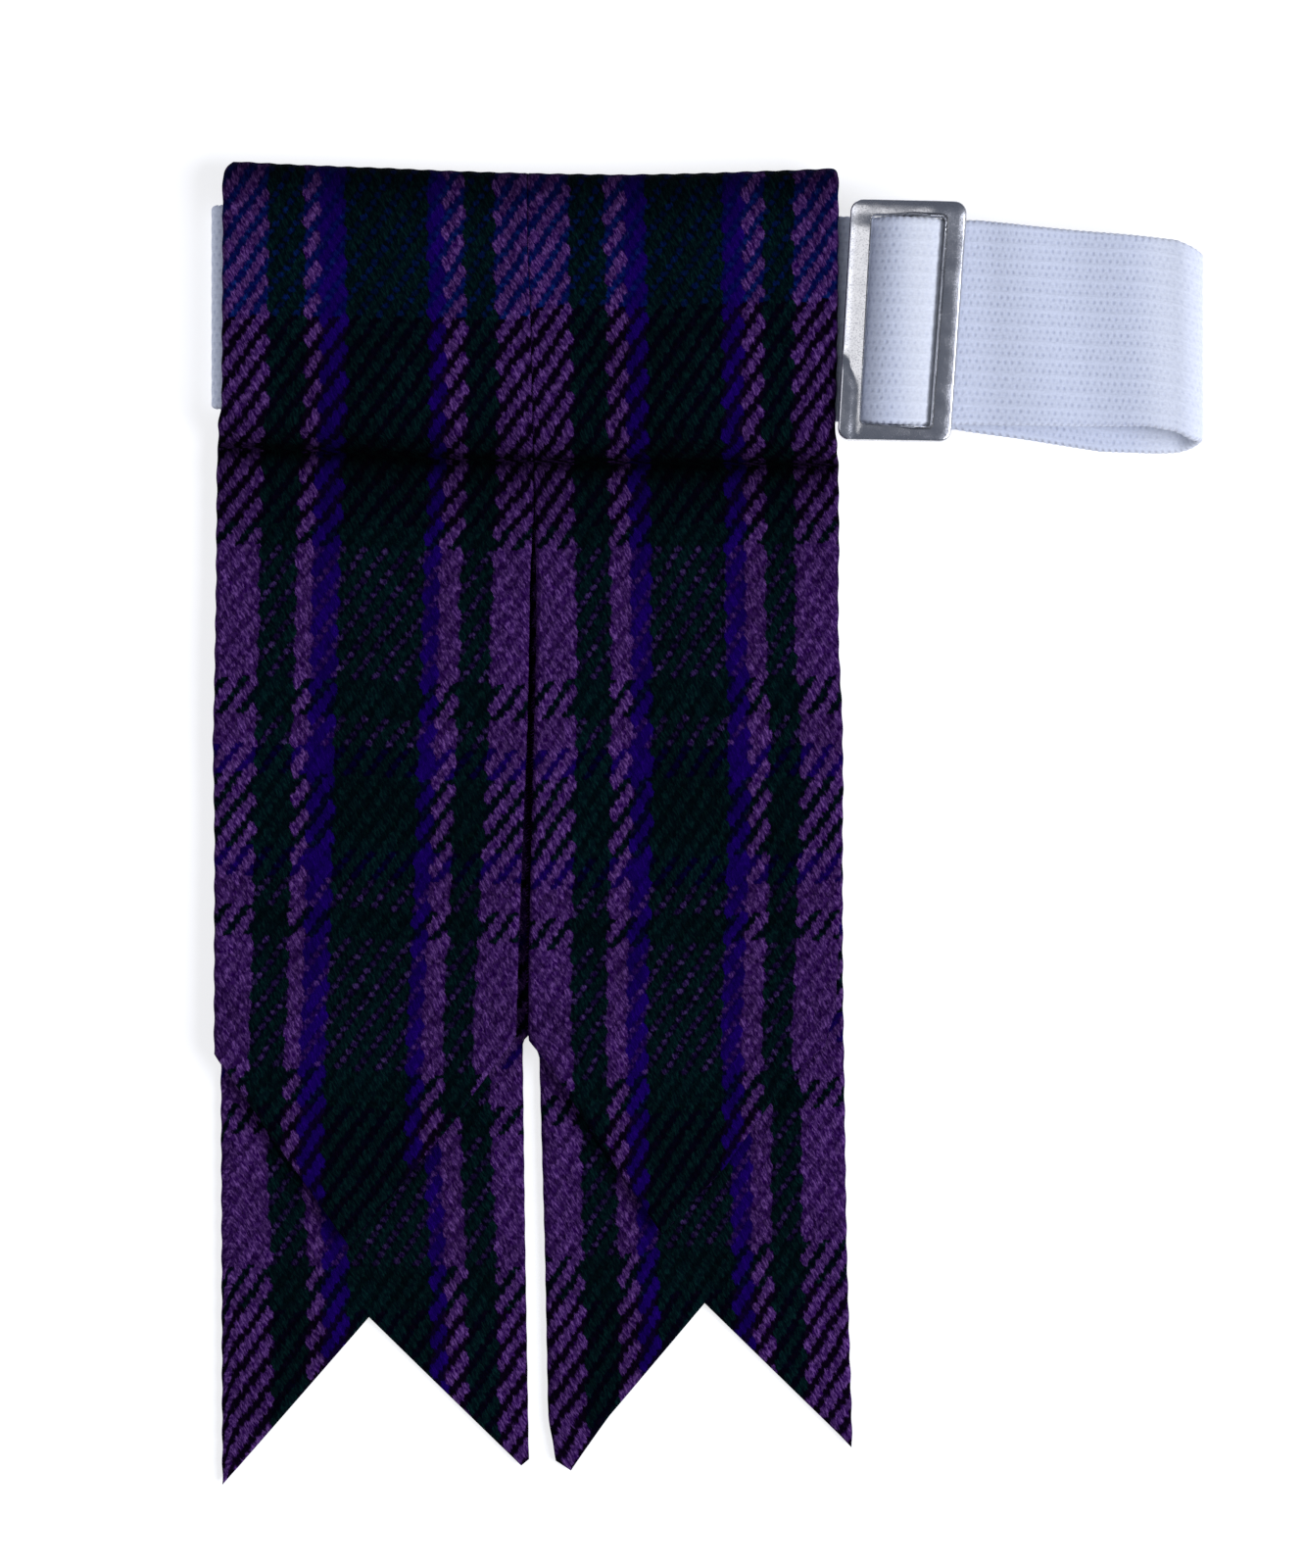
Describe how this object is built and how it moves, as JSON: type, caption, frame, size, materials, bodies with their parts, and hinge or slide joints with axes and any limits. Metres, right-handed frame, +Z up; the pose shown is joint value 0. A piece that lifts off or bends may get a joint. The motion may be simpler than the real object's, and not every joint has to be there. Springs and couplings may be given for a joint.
{
  "type": "kilt flash",
  "caption": "Kilt flash lying flat: joined tartan strips with pointed front and swallowtail back tails, sewn over a white elastic garter with a metal slider.",
  "frame": {"origin": "middle of the footprint, on the surface that the flash lies on", "axes": "+X along the garter towards its right fold, +Y up the strips towards the top fold, +Z up, the way the front faces"},
  "size_m": [0.1204, 0.1606, 0.0088],
  "materials": {
    "tartan": "woollen twill tartan in purple, violet, dark green, navy and black",
    "elastic": "white woven elastic with fine ribs and rows of small pits",
    "metal": "polished nickel plate"
  },
  "bodies": {
    "root": {"left_strip": "tartan", "right_strip": "tartan", "garter_elastic": "elastic", "slider_buckle": "metal"}
  },
  "joints": []
}
